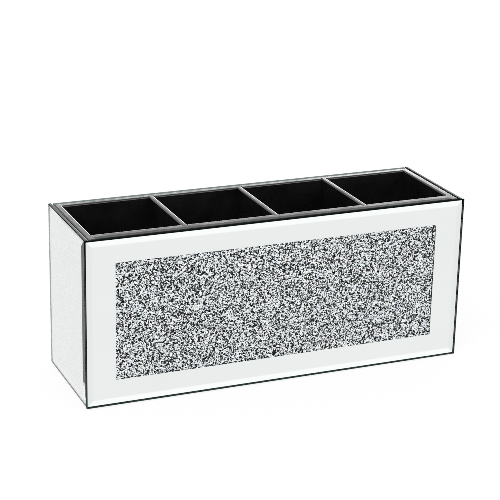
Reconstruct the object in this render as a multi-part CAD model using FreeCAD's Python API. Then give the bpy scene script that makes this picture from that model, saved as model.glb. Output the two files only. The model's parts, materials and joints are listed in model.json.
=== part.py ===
import FreeCAD, Part
import math
import os

# Makeup brush holder: an open-topped box of black boards faced with bevelled mirror panes, with crushed
# crystal behind a clear window in the front pane, and three dividers that lift out of grooves.
# Millimetres, +Z up. The origin is the middle of the underside. The front faces -Y, the width is along X.

Vector = FreeCAD.Vector

# Overall size
overall_width = 260.0
overall_depth = 80.0
overall_height = 110.5

# Mirror panes
glass_thickness = 2.5
bevel_width = 5.0  # sloping band round the face of a pane
bevel_drop = 0.25  # how far the band falls from the face to the edge
glass_arris = 0.4  # small chamfer that takes the sharpness off an edge
corner_seam = 0.8  # open joint at a corner, between a pane and the pane that covers its end
silvering_thickness = 0.18  # silver and its backing paint, on the back of the glass
silvering_gap = 0.02  # film of bonding coat between the glass and the silver

# Clear window in the front silvering, measured in from the edges of the front pane
window_side_border = 19.5
window_top_border = 16.0
window_bottom_border = 16.5

# Double-sided tape between the silvering and the boards
tape_thickness = 0.4
tape_width = 10.0  # strips on the side and back panes
tape_edge_inset = 6.0  # from the side of a board to its outer strip
tape_end_inset = 9.0  # from the top and bottom of a board to the ends of a strip
rail_tape_margin = 2.0  # from the edges of a rail to the strip on it
back_strip_count = 3
side_strip_count = 2

# Boards of the box
board_thickness = 4.5
rail_thickness = 4.5  # spacer rails round the crystals
rail_reveal = 0.6  # how far a rail stands back behind the edge of the window
edge_ease = 1.0  # rounding of the edges along the rim

# Crystals and the bed that they are set in
bed_thickness = 2.0
crystal_clearance = 0.1  # from the crystals to the plane of the silvering's back

# Dividers
divider_names = ("divider_left", "divider_middle", "divider_right")
divider_thickness = 3.6
groove_depth = 2.0
groove_side_clearance = 0.15
groove_end_clearance = 0.2
divider_foot_clearance = 0.1

# Soft linings
lining_thickness = 0.8
lining_clearance = 0.3
felt_thickness = 0.6
felt_inset = 3.0  # from the outline of the panes to the edge of the felt underneath

# Brads that hold the boards together
brad_diameter = 0.8
brad_length = 12.0
brad_clearance = 0.02
brad_height_shares = (0.2, 0.5, 0.8)  # of the wall's height
brad_depth_shares = (0.3, 0.7)  # of the depth inside

cut_overrun = 1.0  # how far every cutting tool runs past the face that it cuts

# Planes and places that several pieces share
skin_thickness = glass_thickness + silvering_gap + silvering_thickness + tape_thickness
half_width = overall_width / 2 - skin_thickness  # outer faces of the boards
half_depth = overall_depth / 2 - skin_thickness
floor_z = felt_thickness  # underside of the boards and panes
rim_z = overall_height
base_top_z = floor_z + board_thickness
base_middle_z = floor_z + board_thickness / 2
lining_top_z = base_top_z + lining_thickness
inner_half_width = half_width - board_thickness
front_board_y = rail_thickness - half_depth  # outer face of the front board
inner_front_y = front_board_y + board_thickness
inner_back_y = half_depth - board_thickness
inner_depth = inner_back_y - inner_front_y
window_half_width = overall_width / 2 - window_side_border
window_low_z = floor_z + window_bottom_border
window_high_z = rim_z - window_top_border
opening_half_width = window_half_width + rail_reveal  # opening between the rails
opening_low_z = window_low_z - rail_reveal
opening_high_z = window_high_z + rail_reveal

compartment_count = len(divider_names) + 1
compartment_width = (
    2 * inner_half_width - len(divider_names) * divider_thickness
) / compartment_count
compartment_pitch = compartment_width + divider_thickness
compartment_centres = [
    compartment_width / 2 - inner_half_width + i * compartment_pitch
    for i in range(compartment_count)
]
divider_centres = [x + compartment_pitch / 2 for x in compartment_centres[:-1]]

# Each face of the box: its turn about Z from the front, and the distance from the middle to the outer face
quarter_turn_degrees = 90
faces = {
    "front": (0, overall_depth / 2),
    "right": (quarter_turn_degrees, overall_width / 2),
    "back": (2 * quarter_turn_degrees, overall_depth / 2),
    "left": (3 * quarter_turn_degrees, overall_width / 2),
}
side_faces = ("left", "right")
corner_set_back = glass_thickness + corner_seam


def block(x_range, y_range, z_range):
    low = Vector(x_range[0], y_range[0], z_range[0])
    size = Vector(x_range[1], y_range[1], z_range[1]) - low
    return Part.makeBox(size.x, size.y, size.z, low)


def turned_to(face, shape):
    """Carries a shape that was made on the front round to another face of the box."""
    shape.rotate(Vector(), Vector(0, 0, 1), faces[face][0])
    return shape


def pane_width(face):
    """The front pane covers the front ends of the side panes, and they cover the ends of the back pane."""
    if face == "front":
        return overall_width
    if face == "back":
        return overall_width - 2 * corner_set_back
    return overall_depth - corner_set_back


def pane_in_place(face, shape):
    """Turns a pane or its silvering to its face, and slides a side one back to clear the front pane."""
    turned_to(face, shape)
    if face in side_faces:
        shape.translate(Vector(0, corner_set_back / 2, 0))
    return shape


def polygon_face(points):
    return Part.Face(Part.makePolygon(points + points[:1]))


def rectangle(face, depth, inset):
    """Corners of a rectangle at a depth behind the outer face, drawn in from the pane's outline."""
    x = pane_width(face) / 2 - inset
    y = depth - faces[face][1]
    low, high = floor_z + inset, rim_z - inset
    return [Vector(-x, y, low), Vector(x, y, low), Vector(x, y, high), Vector(-x, y, high)]


def glass_pane(face):
    """Pane with a bevel round its face and a fine chamfer on its edges, built up from flat facets."""
    sections = (
        (0, bevel_width),
        (bevel_drop * (1 - glass_arris / bevel_width), glass_arris),
        (bevel_drop + glass_arris, 0),
        (glass_thickness - glass_arris, 0),
        (glass_thickness, glass_arris),
    )
    rings = [rectangle(face, depth, inset) for depth, inset in sections]
    facets = [polygon_face(rings[0][::-1]), polygon_face(rings[-1])]
    for outer, inner in zip(rings, rings[1:]):
        for i, corner in enumerate(outer):
            after = (i + 1) % len(outer)
            facets.append(polygon_face([corner, outer[after], inner[after], inner[i]]))
    pane = Part.makeSolid(Part.makeShell(facets))
    if pane.Volume < 0:
        pane.reverse()
    return pane_in_place(face, pane)


def silvering(face):
    """Silvered coat over the whole back of a pane, with the clear window in the front one."""
    x = pane_width(face) / 2 - glass_arris
    y = glass_thickness + silvering_gap - faces[face][1]
    coat = block((-x, x), (y, y + silvering_thickness), (floor_z + glass_arris, rim_z - glass_arris))
    if face == "front":
        coat = coat.cut(
            block(
                (-window_half_width, window_half_width),
                (y - cut_overrun, y + silvering_thickness + cut_overrun),
                (window_low_z, window_high_z),
            )
        )
    return pane_in_place(face, coat)


def tape_strips(face, board_half_width, strip_count):
    """Upright strips of tape, spread evenly over the board behind a pane."""
    reach = board_half_width - tape_edge_inset - tape_width / 2
    y = skin_thickness - faces[face][1]
    strips = []
    for i in range(strip_count):
        x = reach * (2 * i / (strip_count - 1) - 1)
        strips.append(
            block(
                (x - tape_width / 2, x + tape_width / 2),
                (y - tape_thickness, y),
                (floor_z + tape_end_inset, rim_z - tape_end_inset),
            )
        )
    return turned_to(face, Part.makeCompound(strips))


def rail_ranges():
    """Where each spacer rail runs along X and Z: the long rails pass over the ends of the short ones."""
    full_x = (-inner_half_width, inner_half_width)
    opening_z = (opening_low_z, opening_high_z)
    return {
        "window_rail_top": (full_x, (opening_high_z, rim_z)),
        "window_rail_bottom": (full_x, (floor_z, opening_low_z)),
        "window_rail_left": ((-inner_half_width, -opening_half_width), opening_z),
        "window_rail_right": ((opening_half_width, inner_half_width), opening_z),
    }


def front_tape():
    """A strip of tape along the middle of each rail."""
    strips = []
    for x_range, z_range in rail_ranges().values():
        strips.append(
            block(
                (x_range[0] + rail_tape_margin, x_range[1] - rail_tape_margin),
                (-half_depth - tape_thickness, -half_depth),
                (z_range[0] + rail_tape_margin, z_range[1] - rail_tape_margin),
            )
        )
    return Part.makeCompound(strips)


def edge_rounding(start, along, into):
    """Sliver to cut from a top edge: the edge runs from start by along, and into points into the board."""
    down = Vector(0, 0, -1)
    on_top = start + into * edge_ease
    on_side = start + down * edge_ease
    centre = on_top + down * edge_ease
    middle = centre - (into + down) * (edge_ease / math.sqrt(2))
    above = on_top - down * cut_overrun
    corner = start - (into + down) * cut_overrun
    outside = on_side - into * cut_overrun
    outline = [
        Part.LineSegment(on_top, above).toShape(),
        Part.LineSegment(above, corner).toShape(),
        Part.LineSegment(corner, outside).toShape(),
        Part.LineSegment(outside, on_side).toShape(),
        Part.Arc(on_side, middle, on_top).toShape(),
    ]
    return Part.Face(Part.Wire(outline)).extrude(along)


def round_edges_along_x(board, x_range, front_y=None, back_y=None):
    """Rounds the top edges of a board along X, at its front and back faces where they show."""
    start_x, along = x_range[0], Vector(x_range[1] - x_range[0], 0, 0)
    if front_y is not None:
        board = board.cut(edge_rounding(Vector(start_x, front_y, rim_z), along, Vector(0, 1, 0)))
    if back_y is not None:
        board = board.cut(edge_rounding(Vector(start_x, back_y, rim_z), along, Vector(0, -1, 0)))
    return board


def round_edge_along_y(board, x, y_range, into):
    along = Vector(0, y_range[1] - y_range[0], 0)
    return board.cut(edge_rounding(Vector(x, y_range[0], rim_z), along, into))


def brad_places():
    """Where every brad starts, on the outer face of the board that it goes through, and its direction."""
    wall_height = rim_z - floor_z
    places = []
    for side in (-1, 1):
        inward = Vector(-side, 0, 0)
        for wall_y in (front_board_y + board_thickness / 2, half_depth - board_thickness / 2):
            for share in brad_height_shares:
                start = Vector(side * half_width, wall_y, floor_z + share * wall_height)
                places.append((start, inward))
        for share in brad_depth_shares:
            start = Vector(side * half_width, inner_front_y + share * inner_depth, base_middle_z)
            places.append((start, inward))
    for x in compartment_centres:
        places.append((Vector(x, front_board_y, base_middle_z), Vector(0, 1, 0)))
        places.append((Vector(x, half_depth, base_middle_z), Vector(0, -1, 0)))
    return places


def carcass_brads():
    radius = brad_diameter / 2
    return Part.makeCompound([Part.makeCylinder(radius, brad_length, p, d) for p, d in brad_places()])


def bored_for_brads(board):
    radius = brad_diameter / 2 + brad_clearance
    length = cut_overrun + brad_length + brad_clearance
    holes = [Part.makeCylinder(radius, length, p - d * cut_overrun, d) for p, d in brad_places()]
    return board.cut(holes)


def groove_cuts(wall_y, into_wall):
    """Open-topped grooves for the dividers, in the wall whose inner face is at wall_y."""
    half_groove = divider_thickness / 2 + groove_side_clearance
    ends = sorted((wall_y + into_wall * groove_depth, wall_y - into_wall * cut_overrun))
    cuts = []
    for x in divider_centres:
        cuts.append(block((x - half_groove, x + half_groove), ends, (base_top_z, rim_z + cut_overrun)))
    return cuts


def base_board():
    board = block(
        (-inner_half_width, inner_half_width), (inner_front_y, inner_back_y), (floor_z, base_top_z)
    )
    return bored_for_brads(board)


def front_board():
    x_range = (-inner_half_width, inner_half_width)
    board = block(x_range, (front_board_y, inner_front_y), (floor_z, rim_z))
    board = board.cut(groove_cuts(inner_front_y, -1))
    return bored_for_brads(round_edges_along_x(board, x_range, back_y=inner_front_y))


def back_board():
    x_range = (-inner_half_width, inner_half_width)
    board = block(x_range, (inner_back_y, half_depth), (floor_z, rim_z))
    board = board.cut(groove_cuts(inner_back_y, 1))
    board = round_edges_along_x(board, x_range, front_y=inner_back_y, back_y=half_depth)
    return bored_for_brads(board)


def side_board(side):
    """Wall at one end of the box, with side -1 on the left and 1 on the right."""
    x_range = sorted((side * inner_half_width, side * half_width))
    y_range = (-half_depth, half_depth)
    board = block(x_range, y_range, (floor_z, rim_z))
    outward = Vector(side, 0, 0)
    board = round_edge_along_y(board, side * half_width, y_range, -outward)
    board = round_edge_along_y(board, side * inner_half_width, (inner_front_y, inner_back_y), outward)
    board = round_edges_along_x(board, x_range, front_y=-half_depth, back_y=half_depth)
    return bored_for_brads(board)


def window_rail(name):
    x_range, z_range = rail_ranges()[name]
    rail = block(x_range, (-half_depth, front_board_y), z_range)
    if z_range[1] == rim_z:
        rail = round_edges_along_x(rail, x_range, front_y=-half_depth)
    return rail


def crystal_bed():
    return block(
        (-opening_half_width, opening_half_width),
        (front_board_y - bed_thickness, front_board_y),
        (opening_low_z, opening_high_z),
    )


def crushed_crystals():
    return block(
        (-opening_half_width, opening_half_width),
        (crystal_clearance - half_depth - tape_thickness, front_board_y - bed_thickness),
        (opening_low_z, opening_high_z),
    )


def divider(x):
    """Dividing board that stands in a groove at each end and lifts straight out."""
    end_reach = groove_depth - groove_end_clearance
    y_range = (inner_front_y - end_reach, inner_back_y + end_reach)
    x_range = (x - divider_thickness / 2, x + divider_thickness / 2)
    board = block(x_range, y_range, (lining_top_z + divider_foot_clearance, rim_z))
    board = round_edge_along_y(board, x_range[0], y_range, Vector(1, 0, 0))
    return round_edge_along_y(board, x_range[1], y_range, Vector(-1, 0, 0))


def floor_lining():
    return block(
        (lining_clearance - inner_half_width, inner_half_width - lining_clearance),
        (inner_front_y + lining_clearance, inner_back_y - lining_clearance),
        (base_top_z, lining_top_z),
    )


def base_felt():
    x = overall_width / 2 - felt_inset
    y = overall_depth / 2 - felt_inset
    return block((-x, x), (-y, y), (0, felt_thickness))


pieces = {
    "base_board": base_board(),
    "front_board": front_board(),
    "back_board": back_board(),
    "left_board": side_board(-1),
    "right_board": side_board(1),
    "crystal_bed": crystal_bed(),
    "crushed_crystals": crushed_crystals(),
    "front_tape": front_tape(),
    "back_tape": tape_strips("back", inner_half_width, back_strip_count),
    "left_tape": tape_strips("left", half_depth, side_strip_count),
    "right_tape": tape_strips("right", half_depth, side_strip_count),
    "floor_lining": floor_lining(),
    "base_felt": base_felt(),
    "carcass_brads": carcass_brads(),
}
for rail_name in rail_ranges():
    pieces[rail_name] = window_rail(rail_name)
for divider_name, divider_x in zip(divider_names, divider_centres):
    pieces[divider_name] = divider(divider_x)
for face_name in faces:
    pieces[face_name + "_glass"] = glass_pane(face_name)
    pieces[face_name + "_silvering"] = silvering(face_name)

os.makedirs("parts", exist_ok=True)
for piece_name, piece in pieces.items():
    piece.exportStep("parts/" + piece_name + ".step")
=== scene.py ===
import json
import math
from collections import namedtuple

import bmesh
import bpy
import numpy as np
from mathutils import Matrix, Vector


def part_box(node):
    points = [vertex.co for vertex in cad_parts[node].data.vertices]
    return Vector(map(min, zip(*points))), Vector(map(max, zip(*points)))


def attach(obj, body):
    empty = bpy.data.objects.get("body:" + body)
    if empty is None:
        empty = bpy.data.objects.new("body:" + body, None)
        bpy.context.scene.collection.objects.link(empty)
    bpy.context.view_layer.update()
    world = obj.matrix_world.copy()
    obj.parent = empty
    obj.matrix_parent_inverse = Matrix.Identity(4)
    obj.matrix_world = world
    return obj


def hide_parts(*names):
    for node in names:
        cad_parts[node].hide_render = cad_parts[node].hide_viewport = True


# Looks of the mirrored makeup brush holder. Metres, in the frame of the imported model: the front faces -Y.

MM = 0.001

# Camera, fitted to the photograph's frame
CAMERA_PLACE = (-0.4062, -0.9371, 0.4367)
CAMERA_AZIMUTH = -23.15
CAMERA_ELEVATION = 19.4
CAMERA_ROLL = 1.28
CAMERA_LENS = 119.0
SENSOR_WIDTH = 36.0

# Glass. An edge has a colour, a clarity from 0 to 1, and the colour of its ground arrises
# Edge tones: the ground edge's own dark green, with painted shade that makes the front pane's top edge near
# black; paler at its foot and on the end and back panes
Edge = namedtuple("Edge", "colour clarity arris")
GLASS_IOR = 1.52
GLASS_COLOUR = (0.99, 0.996, 0.993)
GLASS_DEPTH_COLOUR = (0.42, 0.86, 0.7)
GLASS_DEPTH_DENSITY = 5.0
DARK_EDGE_COLOUR = (0.003, 0.006, 0.005)
FOOT_EDGE_COLOUR = (0.03, 0.06, 0.052)
END_EDGE_COLOUR = (0.11, 0.13, 0.125)
BACK_EDGE_COLOUR = (0.16, 0.19, 0.18)
FRONT_FOOT = Edge(FOOT_EDGE_COLOUR, 0.0, FOOT_EDGE_COLOUR)
FRONT_SIDE = Edge(DARK_EDGE_COLOUR, 0.6, DARK_EDGE_COLOUR)
# painted shade: the front pane's top edge is near black
FRONT_TOP = Edge(DARK_EDGE_COLOUR, 0.0, DARK_EDGE_COLOUR)
BACK_EDGE = Edge(BACK_EDGE_COLOUR, 0.0, BACK_EDGE_COLOUR)
END_EDGE = Edge(END_EDGE_COLOUR, 0.5, DARK_EDGE_COLOUR)
EDGE_ROUGHNESS = 0.5
# Where the foot's edge gives way to the sides' and theirs to the top's, on a smooth rise from foot to top
EDGE_STOPS = (0.015, 0.03, 0.97, 0.985)
# Cosine of a face's turn from straight across its pane: from edge to arris, and from arris to polished face
ARRIS_TURN = (0.2, 0.55)
FACE_TURN = (0.85, 0.95)
# How much a pane's face reflects, as a share of real glass
FRONT_SHINE = 0.1
END_SHINE = 0.5
BACK_SHINE = 1.0
END_BEVEL_SLOPE = 0.5  # share of the real slope that the end panes' top and bottom bevels are shaded with

# Silver behind the glass: tones of the flat, and of the level and upright bevels as painted reflection
FRONT_SILVER_PAINTED_TONES = (0.848, 0.985, 0.82)
# The end panes' silver is darker than the front and back panes': painted shade
END_SILVER_PAINTED_TONES = (0.765, 0.82, 0.775)
SILVER_CLOUD = 0.015
SILVER_CLOUD_SIZE = 60 * MM
BEVEL_REFLECTION_END = (3.6 * MM, 4.6 * MM)  # how far in from a pane's edge the bevel's painted reflection gives way to the flat's tone

# Boards: index of the film, and its smoothest and roughest sheen
SATIN_FILM = (1.6, 0.1, 0.18)
DULL_FILM = (1.25, 0.06, 0.1)
DULL_NODES = ("window_rail_top", "window_rail_left", "window_rail_right")

# Sizes and heights of fine texture
FILM_GRAIN = 0.35 * MM
FILM_SHEEN = 14 * MM
FILM_RELIEF = 0.01 * MM
CRYSTAL_HAZE = 1.5 * MM
RESIN_CLOUD = 2 * MM
RESIN_RIPPLE = 1.2 * MM
RESIN_RELIEF = 0.1 * MM
VELVET_SHEEN_STROKE = 18 * MM
VELVET_FIBRE = 0.22 * MM
VELVET_PILE = 0.12 * MM
FELT_FIBRE = 0.4 * MM
FELT_PILE = 0.15 * MM
FOAM_CELL = 0.5 * MM
FOAM_DIMPLE = 0.4 * MM
FOAM_RELIEF = 0.05 * MM
WIRE_LINE = 0.15 * MM

# Crushed crystal
SHARD_SEED = 7
SHARD_KINDS = 40
SHARD_POINTS = 6
CORNER_SHARES = (0.72, 1.0)  # nearest and farthest corner, of the unit ball
SQUASH_SHARES = (0.65, 1.0)  # most and least squashed along an axis
SHARD_PITCH = 1.0 * MM
ROW_SHARE = math.sqrt(3) / 2  # of the pitch, from row to row
PLACE_SHAKE = 0.35  # of the pitch
SHARD_RADIUS = 1.1 * MM
SHARD_RADIUS_SPREAD = 0.22
SHARD_RADIUS_SHARES = (0.6, 1.4)  # smallest and largest, of the radius
SHARD_DEPTH_SPREAD = 0.3 * MM
SHARD_FLATNESS = 0.12  # of a shard's face
SHARD_ROOT = 3.5  # how far a root is drawn out
ROOT_FROM = 0.55  # of the radius: corners deeper than this become the root
ROOT_BITE = 0.3 * MM  # how far a root reaches into the bed
EVEN_SPREAD = (0.7549, 0.5698)  # steps along and across the rows that spread the picks evenly
PICK_SHAKE = 0.4
WHITE_SHARE = 0.8
SILVER_SHARE = 0.04
WHITE_TONES = (0.93, 1.0)
SILVER_TONES = (0.08, 0.5)
BLACK_TONES = (0.0, 0.02)
FACET_TONES = (0.88, 1.0)
SHARD_CASTS = ((1.0, 1.0, 1.0), (0.89, 0.95, 1.0), (1.0, 0.97, 0.91), (0.95, 0.94, 1.0))
CAST_SHARES = (0.42, 0.42, 0.06, 0.1)

# Soft linings
LINING_SPACING = 1.5 * MM
LINING_RELIEF = 0.12 * MM
FELT_SPACING = 2.0 * MM
FELT_RELIEF = 0.06 * MM
LINING_SEED = 11
FELT_SEED = 12
TUFT_STEPS = 2  # grid steps from tuft to tuft of the pile
STROKE_STEPS = 9  # and from stroke to stroke
TUFT_SHARE = 0.7  # of the relief, the rest is strokes
CUT_EDGE_SHARE = 0.3  # of a sheet's thickness that its cut edge is pressed down by

# Stage
FLOOR_REACH = 6.0
FLOOR_DROP = 0.2 * MM
SHADOW_SHARE = 0.15  # of the floor that the camera sees in its own light and shadow
ROOM_TONES = ((0.0, 0.97), (0.35, 0.95), (1.0, 0.7))  # from the horizon, 0, to overhead, 1
Lamp = namedtuple("Lamp", "place aim size power")
LAMPS = {
    "key_softbox": Lamp((-0.7, -0.7, 1.3), (0, 0, 0.05), (0.9, 0.9), 12.0),
    "back_strip": Lamp((0.78, 1.84, 0.45), (0, 0, 0.1), (2.6, 0.4), 20.0),
    "front_softbox": Lamp((0.6, -1.5, 0.45), (0, 0, 0.05), (2.4, 0.8), 12.0),
}

# Body that the pieces made here ride on
BODY = "box"

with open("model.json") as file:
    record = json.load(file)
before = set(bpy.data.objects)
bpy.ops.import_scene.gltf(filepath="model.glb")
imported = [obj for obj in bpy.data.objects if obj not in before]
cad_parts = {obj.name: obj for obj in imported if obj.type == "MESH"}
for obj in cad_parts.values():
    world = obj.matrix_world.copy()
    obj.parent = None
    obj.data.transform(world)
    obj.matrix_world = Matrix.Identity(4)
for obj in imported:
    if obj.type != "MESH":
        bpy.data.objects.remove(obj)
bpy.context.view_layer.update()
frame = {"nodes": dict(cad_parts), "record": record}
nodes = frame["nodes"]
scene = bpy.context.scene


# Node helpers

def new_material(name):
    material = bpy.data.materials.new(name)
    material.use_nodes = True
    tree = material.node_tree
    return material, tree, tree.nodes["Principled BSDF"]


def set_inputs(target, values):
    for name, value in values.items():
        target.inputs[name].default_value = value


def add_node(tree, kind, values=None, **settings):
    made = tree.nodes.new(kind)
    for name, value in settings.items():
        setattr(made, name, value)
    set_inputs(made, values or {})
    return made


def place_in_metres(tree):
    """Coordinates fixed to the object, so that a texture's scale is per metre."""
    return add_node(tree, "ShaderNodeTexCoord").outputs["Object"]


def noise(tree, size, detail=3.0, stretch=(1, 1, 1), roughness=0.55):
    """Noise whose features are about size metres across, drawn out along an axis by stretch."""
    mapping = add_node(tree, "ShaderNodeMapping")
    mapping.inputs["Scale"].default_value = [1 / (size * s) for s in stretch]
    tree.links.new(place_in_metres(tree), mapping.inputs["Vector"])
    made = add_node(tree, "ShaderNodeTexNoise", {"Scale": 1.0, "Detail": detail, "Roughness": roughness})
    tree.links.new(mapping.outputs["Vector"], made.inputs["Vector"])
    return made.outputs["Fac"]


def remap(tree, value, low, high, new_low, new_high):
    made = add_node(tree, "ShaderNodeMapRange")
    made.interpolation_type = "SMOOTHSTEP"
    set_inputs(made, {"From Min": low, "From Max": high, "To Min": new_low, "To Max": new_high})
    tree.links.new(value, made.inputs["Value"])
    return made.outputs["Result"]


def ramp(tree, value, stops):
    """Colour ramp over (position, colour) stops."""
    made = add_node(tree, "ShaderNodeValToRGB")
    elements = made.color_ramp.elements
    while len(elements) < len(stops):
        elements.new(0.5)
    for element, (position, colour) in zip(elements, stops):
        element.position = position
        element.color = (*colour, 1)
    tree.links.new(value, made.inputs["Fac"])
    return made.outputs["Color"]


def plug(tree, value, socket):
    """Puts a value or another node's output into a socket."""
    if isinstance(value, bpy.types.NodeSocket):
        tree.links.new(value, socket)
    else:
        socket.default_value = value


def math_node(tree, operation, *values):
    made = add_node(tree, "ShaderNodeMath", operation=operation)
    for value, socket in zip(values, made.inputs):
        plug(tree, value, socket)
    return made.outputs["Value"]


def mix_colour(tree, share, first, second):
    """The first colour where share is 0, the second where it is 1."""
    made = add_node(tree, "ShaderNodeMix", data_type="RGBA")
    plug(tree, share, made.inputs["Factor"])
    for colour, socket in ((first, made.inputs[6]), (second, made.inputs[7])):
        plug(tree, colour if isinstance(colour, bpy.types.NodeSocket) else (*colour, 1), socket)
    return made.outputs[2]


def bump(tree, shader, height, distance, strength=1.0):
    made = add_node(tree, "ShaderNodeBump", {"Strength": strength, "Distance": distance})
    tree.links.new(height, made.inputs["Height"])
    tree.links.new(made.outputs["Normal"], shader.inputs["Normal"])


# Materials

def even_grey(value):
    """A plain number as a colour."""
    return value, value, value


def silver_grey(tone):
    """The faintly green grey of silver."""
    return tone - 0.004, tone + 0.003, tone - 0.001


def inset(tree, place, low, high):
    """How far a place lies from the nearer of two ends."""
    from_middle = math_node(tree, "ABSOLUTE", math_node(tree, "SUBTRACT", place, (low + high) / 2))
    return math_node(tree, "SUBTRACT", (high - low) / 2, from_middle)


def by_height(tree, height, foot, side, top):
    """The foot's colour at the bottom of a pane, the side's above it and the top's at the top."""
    return ramp(tree, height, list(zip(EDGE_STOPS, (foot, side, side, top))))


def glass_material(pane, across, foot, side, top, shine, bevel_slope=1.0):
    """Clear float glass with ground arrises. across is the axis of the pane's thickness. foot, side and top
    are its edges, shine is how much its face reflects, and bevel_slope eases its top and bottom bevels."""
    low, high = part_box(pane)
    material, tree, shader = new_material(pane)
    set_inputs(shader, {"IOR": GLASS_IOR, "Specular IOR Level": 0.0, "Specular Tint": (*even_grey(shine), 1)})
    facing = add_node(tree, "ShaderNodeSeparateXYZ")
    tree.links.new(add_node(tree, "ShaderNodeTexCoord").outputs["Normal"], facing.inputs["Vector"])
    square = math_node(tree, "ABSOLUTE", facing.outputs[across])
    polished = remap(tree, square, *FACE_TURN, 0.0, 1.0)
    on_arris = remap(tree, square, *ARRIS_TURN, 0.0, 1.0)
    place = add_node(tree, "ShaderNodeSeparateXYZ")
    tree.links.new(place_in_metres(tree), place.inputs["Vector"])
    height = remap(tree, place.outputs["Z"], low.z, high.z, 0.0, 1.0)
    # edge tones by height, with painted shade on the front pane's top edge
    edge = by_height(tree, height, foot.colour, side.colour, top.colour)
    arris = by_height(tree, height, foot.arris, side.arris, top.arris)
    clarity = by_height(tree, height, *(even_grey(part.clarity) for part in (foot, side, top)))
    colour = mix_colour(tree, polished, mix_colour(tree, on_arris, edge, arris), GLASS_COLOUR)
    clarity = mix_colour(tree, polished, mix_colour(tree, on_arris, clarity, even_grey(0.0)), even_grey(1.0))
    tree.links.new(colour, shader.inputs["Base Color"])
    tree.links.new(clarity, shader.inputs["Transmission Weight"])
    tree.links.new(remap(tree, polished, 0.0, 1.0, EDGE_ROUGHNESS, 0.0), shader.inputs["Roughness"])
    eased = add_node(tree, "ShaderNodeVectorMath", operation="MULTIPLY")
    tree.links.new(add_node(tree, "ShaderNodeNewGeometry").outputs["Normal"], eased.inputs[0])
    eased.inputs[1].default_value = (1, 1, bevel_slope)
    tree.links.new(eased.outputs["Vector"], shader.inputs["Normal"])
    body = {"Color": (*GLASS_DEPTH_COLOUR, 1), "Density": GLASS_DEPTH_DENSITY}
    depth = add_node(tree, "ShaderNodeVolumeAbsorption", body)
    tree.links.new(depth.outputs["Volume"], tree.nodes["Material Output"].inputs["Volume"])
    return material


def silver_with_painted_reflection(pane, flat_tone_and_painted_shade, level_bevel_painted_reflection, upright_bevel_painted_reflection):
    """Silver with the slight cloudiness of a real coat, and a painted reflection in tones of its own behind
    level and upright bevels.
    """
    low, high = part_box(pane)
    material, tree, shader = new_material(pane)
    set_inputs(shader, {"Metallic": 1.0})
    cloud = noise(tree, SILVER_CLOUD_SIZE, 4.0)
    place = add_node(tree, "ShaderNodeSeparateXYZ")
    tree.links.new(place_in_metres(tree), place.inputs["Vector"])
    along = "X" if high.x - low.x > high.y - low.y else "Y"
    upright = inset(tree, place.outputs[along], getattr(low, along.lower()), getattr(high, along.lower()))
    from_level = inset(tree, place.outputs["Z"], low.z, high.z)
    # painted reflection: behind the bevels the silver takes tones of its own, lighter or darker than the flat
    on_bevel_reflection = remap(tree, math_node(tree, "MINIMUM", upright, from_level), *BEVEL_REFLECTION_END, 1.0, 0.0)
    flat = ramp(tree, cloud, [(0.3, silver_grey(flat_tone_and_painted_shade)), (0.7, silver_grey(flat_tone_and_painted_shade + SILVER_CLOUD))])
    is_upright = math_node(tree, "LESS_THAN", upright, from_level)
    bevel = mix_colour(tree, is_upright, silver_grey(level_bevel_painted_reflection), silver_grey(upright_bevel_painted_reflection))
    tree.links.new(mix_colour(tree, on_bevel_reflection, flat, bevel), shader.inputs["Base Color"])
    tree.links.new(remap(tree, cloud, 0.3, 0.8, 0.0, 0.015), shader.inputs["Roughness"])
    return material


def board_material(name, ior, smoothest, roughest):
    """Black film over fibreboard: fine grain, uneven sheen."""
    material, tree, shader = new_material(name)
    grain = noise(tree, FILM_GRAIN, 2.0)
    sheen = noise(tree, FILM_SHEEN, 4.0)
    tree.links.new(ramp(tree, sheen, [(0.3, (0.004, 0.004, 0.0045)), (0.75, (0.009, 0.009, 0.01))]),
                   shader.inputs["Base Color"])
    tree.links.new(remap(tree, sheen, 0.25, 0.75, smoothest, roughest), shader.inputs["Roughness"])
    set_inputs(shader, {"IOR": ior})
    bump(tree, shader, grain, FILM_RELIEF, 0.2)
    return material


def crystal_material():
    """Broken facets: each carries its own tone, from black through silver to white."""
    material, tree, shader = new_material("crushed_crystal")
    tone = add_node(tree, "ShaderNodeAttribute", attribute_name="shard_tone")
    tree.links.new(tone.outputs["Color"], shader.inputs["Base Color"])
    set_inputs(shader, {"Metallic": 1.0})
    haze = noise(tree, CRYSTAL_HAZE, 2.0)
    tree.links.new(remap(tree, haze, 0.3, 0.7, 0.06, 0.3), shader.inputs["Roughness"])
    return material


def resin_material():
    material, tree, shader = new_material("dark_resin")
    cloud = noise(tree, RESIN_CLOUD)
    tree.links.new(ramp(tree, cloud, [(0.3, (0.006, 0.006, 0.007)), (0.7, (0.02, 0.02, 0.022))]),
                   shader.inputs["Base Color"])
    set_inputs(shader, {"Roughness": 0.25})
    bump(tree, shader, noise(tree, RESIN_RIPPLE, 4.0), RESIN_RELIEF, 0.6)
    return material


def velvet_material():
    """Short black pile: painted sheen in broad strokes where the pile lies differently, fine fibre in close.
    """
    material, tree, shader = new_material("black_velvet")
    nap_painted_sheen = noise(tree, VELVET_SHEEN_STROKE, 3.0, (1.0, 2.2, 1.0))
    fibre = noise(tree, VELVET_FIBRE, 2.0)
    # painted sheen: the colour is lighter in broad strokes where the pile would catch the light
    tree.links.new(ramp(tree, nap_painted_sheen, [(0.35, (0.004, 0.004, 0.005)), (0.7, (0.013, 0.013, 0.015))]),
                   shader.inputs["Base Color"])
    set_inputs(shader, {"Roughness": 0.9, "Sheen Weight": 0.5, "Sheen Roughness": 0.35,
                        "Sheen Tint": (0.5, 0.5, 0.54, 1)})
    bump(tree, shader, fibre, VELVET_PILE, 0.8)
    return material


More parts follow.
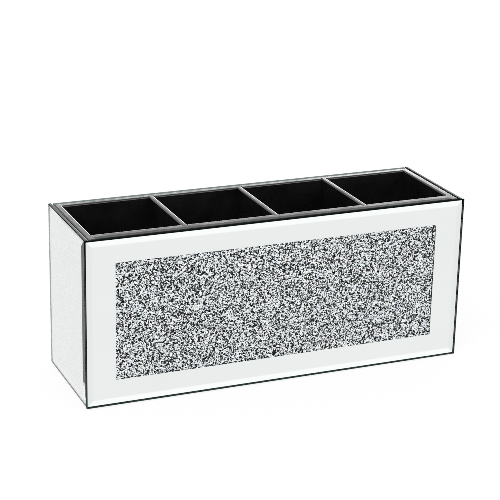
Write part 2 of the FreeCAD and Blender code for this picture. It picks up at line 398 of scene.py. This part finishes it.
def felt_material():
    """Pressed black felt: matted fibres with a few pale hairs."""
    material, tree, shader = new_material("black_felt")
    fibre = noise(tree, FELT_FIBRE, 5.0, (4.0, 1.0, 1.0), 0.7)
    cross = noise(tree, FELT_FIBRE, 5.0, (1.0, 4.0, 1.0), 0.7)
    tree.links.new(ramp(tree, cross, [(0.3, (0.008, 0.008, 0.009)), (0.62, (0.02, 0.02, 0.021)),
                                      (0.78, (0.07, 0.07, 0.072))]), shader.inputs["Base Color"])
    set_inputs(shader, {"Roughness": 0.95, "Sheen Weight": 0.3, "Sheen Roughness": 0.5})
    bump(tree, shader, fibre, FELT_PILE, 0.8)
    return material


def tape_material():
    material, tree, shader = new_material("foam_tape")
    cells = noise(tree, FOAM_CELL, 3.0)
    tree.links.new(ramp(tree, cells, [(0.3, (0.66, 0.66, 0.63)), (0.7, (0.82, 0.82, 0.79))]),
                   shader.inputs["Base Color"])
    set_inputs(shader, {"Roughness": 0.7})
    bump(tree, shader, noise(tree, FOAM_DIMPLE), FOAM_RELIEF)
    return material


def brad_material():
    material, tree, shader = new_material("drawn_steel")
    drawn = noise(tree, WIRE_LINE, 3.0, (20.0, 1.0, 1.0))
    tree.links.new(ramp(tree, drawn, [(0.3, (0.42, 0.42, 0.43)), (0.7, (0.62, 0.62, 0.63))]),
                   shader.inputs["Base Color"])
    set_inputs(shader, {"Metallic": 1.0})
    tree.links.new(remap(tree, drawn, 0.3, 0.7, 0.25, 0.45), shader.inputs["Roughness"])
    return material


# Crushed crystal

def shard_form(rng):
    """One convex shard, as corners within a unit ball and triangles between them."""
    points = rng.normal(size=(SHARD_POINTS, 3))
    points *= rng.uniform(*CORNER_SHARES, (SHARD_POINTS, 1)) / np.linalg.norm(points, axis=1, keepdims=True)
    form = bmesh.new()
    for point in points:
        form.verts.new(point)
    hull = bmesh.ops.convex_hull(form, input=form.verts)
    bmesh.ops.delete(form, geom=[v for v in hull["geom_interior"] if isinstance(v, bmesh.types.BMVert)])
    form.verts.index_update()
    corners = np.array([v.co for v in form.verts])
    triangles = np.array([[v.index for v in f.verts] for f in form.faces])
    form.free()
    return corners, triangles


def random_turns(rng, count):
    """Rotation matrices spread evenly over all directions, from random unit quaternions."""
    q = rng.normal(size=(count, 4))
    w, x, y, z = (q / np.linalg.norm(q, axis=1, keepdims=True)).T
    rows = [
        [1 - 2 * (y * y + z * z), 2 * (x * y - z * w), 2 * (x * z + y * w)],
        [2 * (x * y + z * w), 1 - 2 * (x * x + z * z), 2 * (y * z - x * w)],
        [2 * (x * z - y * w), 2 * (y * z + x * w), 1 - 2 * (x * x + y * y)],
    ]
    return np.array(rows).transpose(2, 0, 1)


def shard_places(rng, low, high):
    """Centres of the shards over the window, in staggered rows shaken out of line, and a pick from 0 to 1 for
    each, spread evenly over the rows so that bright and dark shards don't clump."""
    across = np.arange(low.x, high.x, SHARD_PITCH)
    up = np.arange(low.z, high.z, SHARD_PITCH * ROW_SHARE)
    x, z = np.meshgrid(across, up)
    x[1::2] += SHARD_PITCH / 2
    places = np.stack([x.ravel(), np.full(x.size, low.y), z.ravel()], axis=1)
    places[:, (0, 2)] += rng.uniform(-PLACE_SHAKE, PLACE_SHAKE, (x.size, 2)) * SHARD_PITCH
    row, column = np.indices(x.shape)
    picks = (column * EVEN_SPREAD[0] + row * EVEN_SPREAD[1] + rng.uniform(0, PICK_SHAKE, x.shape)) % 1
    return places, picks.ravel()


def shard_tones(rng, picks, faces_each):
    """A colour for every facet: white, silver and black shards, each with a cast of its own."""
    count = len(picks)
    cast = np.array(SHARD_CASTS)[rng.choice(len(SHARD_CASTS), count, p=CAST_SHARES)]
    darkest, brightest = zip(WHITE_TONES, SILVER_TONES, BLACK_TONES)
    white, silver, black = rng.uniform(darkest, brightest, (count, 3)).T
    tone = np.where(picks < WHITE_SHARE, white, np.where(picks < WHITE_SHARE + SILVER_SHARE, silver, black))
    tone = tone[:, None] * rng.uniform(*FACET_TONES, (count, faces_each))
    colours = np.ones((count, faces_each, 4))
    colours[..., :3] = tone[..., None] * cast[:, None, :]
    return colours.reshape(-1, 4)


def crystal_shards(material):
    """The shards behind the window: flat broken faces close behind the glass, and roots down into the bed."""
    low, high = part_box("crushed_crystals")
    rng = np.random.default_rng(SHARD_SEED)
    forms = [shard_form(rng) for _ in range(SHARD_KINDS)]
    places, picks = shard_places(rng, low, high)
    count = len(places)
    radius = SHARD_RADIUS * np.exp(rng.normal(0, SHARD_RADIUS_SPREAD, count))
    radius = np.clip(radius, *(share * SHARD_RADIUS for share in SHARD_RADIUS_SHARES))
    places[:, 1] += SHARD_FLATNESS * radius + rng.uniform(0, SHARD_DEPTH_SPREAD, count)
    turns = random_turns(rng, count) * rng.uniform(*SQUASH_SHARES, (count, 1, 3))
    kinds = rng.integers(0, SHARD_KINDS, count)
    corners, triangles, tones, start = [], [], [], 0
    for kind, (form, faces) in enumerate(forms):
        mine = np.flatnonzero(kinds == kind)
        points = np.einsum("nij,vj->nvi", turns[mine], form) * radius[mine, None, None]
        deep = points[..., 1] > ROOT_FROM * radius[mine, None]
        points[..., 1] *= np.where(deep, SHARD_ROOT, SHARD_FLATNESS)
        points += places[mine, None, :]
        corners.append(points.reshape(-1, 3))
        first = start + np.arange(len(mine)) * len(form)
        triangles.append((faces[None] + first[:, None, None]).reshape(-1, 3))
        tones.append(shard_tones(rng, picks[mine], len(faces)))
        start += len(mine) * len(form)
    corners = np.concatenate(corners)
    corners = np.clip(corners, (low.x, low.y, low.z), (high.x, high.y + ROOT_BITE, high.z))
    mesh = bpy.data.meshes.new("crystal_shards")
    mesh.from_pydata(corners.tolist(), [], np.concatenate(triangles).tolist())
    layer = mesh.attributes.new("shard_tone", "FLOAT_COLOR", "FACE")
    layer.data.foreach_set("color", np.concatenate(tones).astype(np.float32).ravel())
    return add_piece(mesh, material, "crushed_crystals")


def add_piece(mesh, material, replaced):
    piece = bpy.data.objects.new(mesh.name, mesh)
    scene.collection.objects.link(piece)
    mesh.materials.append(material)
    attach(piece, BODY)
    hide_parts(replaced)
    return piece


# Soft linings

def smooth_noise(rng, count_x, count_y, cells):
    """A soft random field from -1 to 1 on a grid: a coarse random grid, smoothly drawn out to full size."""
    coarse = rng.uniform(-1, 1, (cells[1] + 2, cells[0] + 2))
    u = np.linspace(0, cells[0], count_x, endpoint=False)
    v = np.linspace(0, cells[1], count_y, endpoint=False)
    i, j = u.astype(int), v.astype(int)
    fu, fv = u - i, v - j
    fu, fv = fu * fu * (3 - 2 * fu), fv * fv * (3 - 2 * fv)
    top = coarse[np.ix_(j, i)] * (1 - fu) + coarse[np.ix_(j, i + 1)] * fu
    low = coarse[np.ix_(j + 1, i)] * (1 - fu) + coarse[np.ix_(j + 1, i + 1)] * fu
    return top * (1 - fv[:, None]) + low * fv[:, None]


def cloth_slab(name, low, high, spacing, relief, shown_up, seed):
    """A closed sheet of cloth that fills a node's box, with pile on its shown side and softly cut edges."""
    rng = np.random.default_rng(seed)
    count_x = int((high.x - low.x) / spacing) + 1
    count_y = int((high.y - low.y) / spacing) + 1
    x, y = np.meshgrid(np.linspace(low.x, high.x, count_x), np.linspace(low.y, high.y, count_y))
    tuft_cells = (count_x // TUFT_STEPS, count_y // TUFT_STEPS)
    stroke_cells = (count_x // STROKE_STEPS, count_y // STROKE_STEPS)
    tufts = np.abs(smooth_noise(rng, count_x, count_y, tuft_cells))
    strokes = np.abs(smooth_noise(rng, count_x, count_y, stroke_cells))
    pile = relief * (TUFT_SHARE * tufts + (1 - TUFT_SHARE) * strokes)
    edge = np.zeros_like(x, bool)
    edge[[0, -1], :] = True
    edge[:, [0, -1]] = True
    drop = np.where(edge, (high.z - low.z) * CUT_EDGE_SHARE, pile)
    top = high.z - (drop if shown_up else np.where(edge, drop, 0))
    under = low.z + (np.where(edge, drop, 0) if shown_up else drop)
    count = x.size
    corners = np.concatenate([np.stack([x, y, z], -1).reshape(-1, 3) for z in (top, under)])
    index = np.arange(count).reshape(count_y, count_x)
    quads = np.stack([index[:-1, :-1], index[:-1, 1:], index[1:, 1:], index[1:, :-1]], -1).reshape(-1, 4)
    rim = np.concatenate([index[0, :-1], index[:-1, -1], index[-1, :0:-1], index[:0:-1, 0]])
    after = np.roll(rim, -1)
    sides = np.stack([rim, rim + count, after + count, after], -1)
    faces = np.concatenate([quads, quads[:, ::-1] + count, sides])
    mesh = bpy.data.meshes.new(name)
    mesh.from_pydata(corners.tolist(), [], faces.tolist())
    mesh.shade_smooth()
    return mesh


def velvet_lining(material):
    low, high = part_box("floor_lining")
    mesh = cloth_slab("velvet_lining", low, high, LINING_SPACING, LINING_RELIEF, True, LINING_SEED)
    piece = add_piece(mesh, material, "floor_lining")


def felt_base(material):
    low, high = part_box("base_felt")
    mesh = cloth_slab("felt_base", low, high, FELT_SPACING, FELT_RELIEF, False, FELT_SEED)
    piece = add_piece(mesh, material, "base_felt")


# Stage

def studio_floor():
    """Pale floor that stays white in the picture and in the mirrors, and keeps the shadow."""
    mesh = bpy.data.meshes.new("studio_floor")
    sides = ((-1, -1), (1, -1), (1, 1), (-1, 1))
    corners = [(x * FLOOR_REACH, y * FLOOR_REACH, -FLOOR_DROP) for x, y in sides]
    mesh.from_pydata(corners, [], [(0, 1, 2, 3)])
    floor = bpy.data.objects.new("studio_floor", mesh)
    scene.collection.objects.link(floor)
    material, tree, shader = new_material("studio_floor")
    set_inputs(shader, {"Base Color": (0.9, 0.9, 0.9, 1), "Roughness": 0.9, "Specular IOR Level": 0.1})
    glow = add_node(tree, "ShaderNodeEmission", {"Strength": 1.0})
    path = add_node(tree, "ShaderNodeLightPath")
    by_camera = math_node(tree, "MULTIPLY", path.outputs["Is Camera Ray"], SHADOW_SHARE)
    seen = math_node(tree, "SUBTRACT", seen_rays(tree, path), by_camera)
    mix = add_node(tree, "ShaderNodeMixShader")
    tree.links.new(seen, mix.inputs["Fac"])
    tree.links.new(shader.outputs["BSDF"], mix.inputs[1])
    tree.links.new(glow.outputs["Emission"], mix.inputs[2])
    tree.links.new(mix.outputs["Shader"], tree.nodes["Material Output"].inputs["Surface"])
    mesh.materials.append(material)


def seen_rays(tree, path):
    """1 for what the camera, a mirror or a glass pane sees, and 0 for light on the way to a surface."""
    by_glass = math_node(tree, "MAXIMUM", path.outputs["Is Glossy Ray"], path.outputs["Is Transmission Ray"])
    return math_node(tree, "MAXIMUM", path.outputs["Is Camera Ray"], by_glass)


def studio_world():
    """An even white room, a little greyer overhead, that the camera sees as white."""
    world = bpy.data.worlds.new("studio")
    scene.world = world
    world.use_nodes = True
    tree = world.node_tree
    background = tree.nodes["Background"]
    direction = add_node(tree, "ShaderNodeSeparateXYZ")
    tree.links.new(add_node(tree, "ShaderNodeTexCoord").outputs["Generated"], direction.inputs["Vector"])
    room = ramp(tree, direction.outputs["Z"], [(height, even_grey(tone)) for height, tone in ROOM_TONES])
    path = add_node(tree, "ShaderNodeLightPath")
    seen = mix_colour(tree, path.outputs["Is Camera Ray"], room, even_grey(1.0))
    tree.links.new(seen, background.inputs["Color"])
    set_inputs(background, {"Strength": 1.0})


def soft_light(name, lamp):
    data = bpy.data.lights.new(name, "AREA")
    data.shape = "RECTANGLE"
    data.size, data.size_y = lamp.size
    data.energy = lamp.power
    light = bpy.data.objects.new(name, data)
    light.location = lamp.place
    light.rotation_mode = "QUATERNION"
    light.rotation_quaternion = (Vector(lamp.aim) - Vector(lamp.place)).to_track_quat("-Z", "Y")
    scene.collection.objects.link(light)


def photo_camera():
    lens = bpy.data.cameras.new("photo_camera")
    lens.lens = CAMERA_LENS
    lens.sensor_width = SENSOR_WIDTH
    camera = bpy.data.objects.new("photo_camera", lens)
    camera.matrix_world = (
        Matrix.Translation(CAMERA_PLACE)
        @ Matrix.Rotation(math.radians(CAMERA_AZIMUTH), 4, "Z")
        @ Matrix.Rotation(math.radians(90 - CAMERA_ELEVATION), 4, "X")
        @ Matrix.Rotation(math.radians(CAMERA_ROLL), 4, "Z")
    )
    scene.collection.objects.link(camera)
    scene.camera = camera


def dress(node_names, material):
    """Gives CAD nodes their finish."""
    for name in node_names:
        mesh = nodes[name].data
        mesh.materials.clear()
        mesh.materials.append(material)


slots = {}
for row in frame["record"]["subparts"]:
    slots.setdefault(row["material_slot"], []).append(row["node"])
dress(slots["black_board"], board_material("satin_film", *SATIN_FILM))
dress(DULL_NODES, board_material("dull_film", *DULL_FILM))
front_edges = (FRONT_FOOT, FRONT_SIDE, FRONT_TOP)
dress(["front_glass"], glass_material("front_glass", "Y", *front_edges, FRONT_SHINE))
dress(["back_glass"], glass_material("back_glass", "Y", BACK_EDGE, BACK_EDGE, BACK_EDGE, BACK_SHINE))
end_glass = glass_material("left_glass", "X", END_EDGE, END_EDGE, END_EDGE, END_SHINE, END_BEVEL_SLOPE)
dress(["left_glass", "right_glass"], end_glass)
for pane in ("front_silvering", "back_silvering"):
    dress([pane], silver_with_painted_reflection(pane, *FRONT_SILVER_PAINTED_TONES))
# painted shade: the end panes get a darker copy of the same silver
for pane in ("left_silvering", "right_silvering"):
    dress([pane], silver_with_painted_reflection(pane, *END_SILVER_PAINTED_TONES))
dress(slots["foam_tape"], tape_material())
dress(slots["dark_resin"], resin_material())
dress(slots["brad_steel"], brad_material())
crystal_shards(crystal_material())
velvet_lining(velvet_material())
felt_base(felt_material())

studio_floor()
studio_world()
for lamp_name, lamp in LAMPS.items():
    soft_light(lamp_name, lamp)
photo_camera()
scene.view_settings.view_transform = "Standard"
# The mirrors need many bounces, and a denoiser would smooth the crystals away
scene.cycles.use_denoising = False
scene.cycles.filter_width = 0.7
scene.cycles.min_light_bounces = 8
scene.cycles.max_bounces = 20
scene.cycles.glossy_bounces = 12
scene.cycles.transmission_bounces = 16
